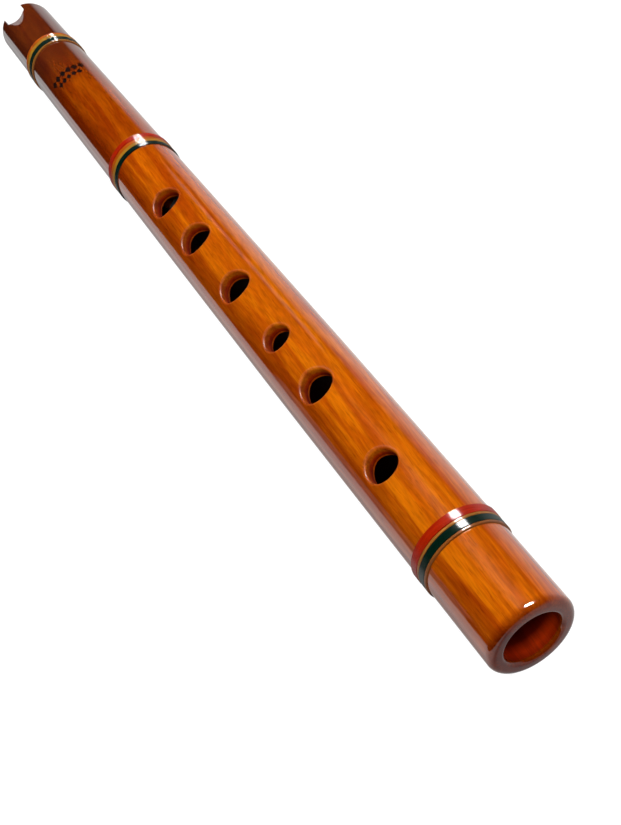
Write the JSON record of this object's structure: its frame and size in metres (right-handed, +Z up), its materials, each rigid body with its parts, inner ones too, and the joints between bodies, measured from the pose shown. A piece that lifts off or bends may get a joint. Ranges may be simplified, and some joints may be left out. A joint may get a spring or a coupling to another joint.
{
  "type": "notch flute",
  "caption": "Wooden end-blown notch flute: a turned hardwood tube with finger holes, a rear thumb hole, a filed blowing notch and coloured thread bindings.",
  "frame": {"origin": "on the surface the flute lies on, under the middle of the tube", "axes": "+X along the tube from the mouth end to the foot end, +Z up through the finger holes, +Y across"},
  "size_m": [0.3866, 0.026, 0.026],
  "materials": {
    "hardwood": "gloss lacquer",
    "thread_red": "lacquered thread",
    "thread_orange": "lacquered thread",
    "thread_yellow": "lacquered thread",
    "thread_green": "lacquered thread",
    "thread_cream": "lacquered thread"
  },
  "bodies": {
    "root": {"body_tube": "hardwood", "head_binding_cream": "thread_cream", "head_binding_green": "thread_green", "head_binding_yellow": "thread_yellow", "head_binding_orange": "thread_orange", "middle_binding_green": "thread_green", "middle_binding_yellow": "thread_yellow", "middle_binding_orange": "thread_orange", "middle_binding_red": "thread_red", "foot_binding_ivory": "thread_cream", "foot_binding_green": "thread_green", "foot_binding_cream": "thread_cream", "foot_binding_red": "thread_red"}
  },
  "joints": []
}
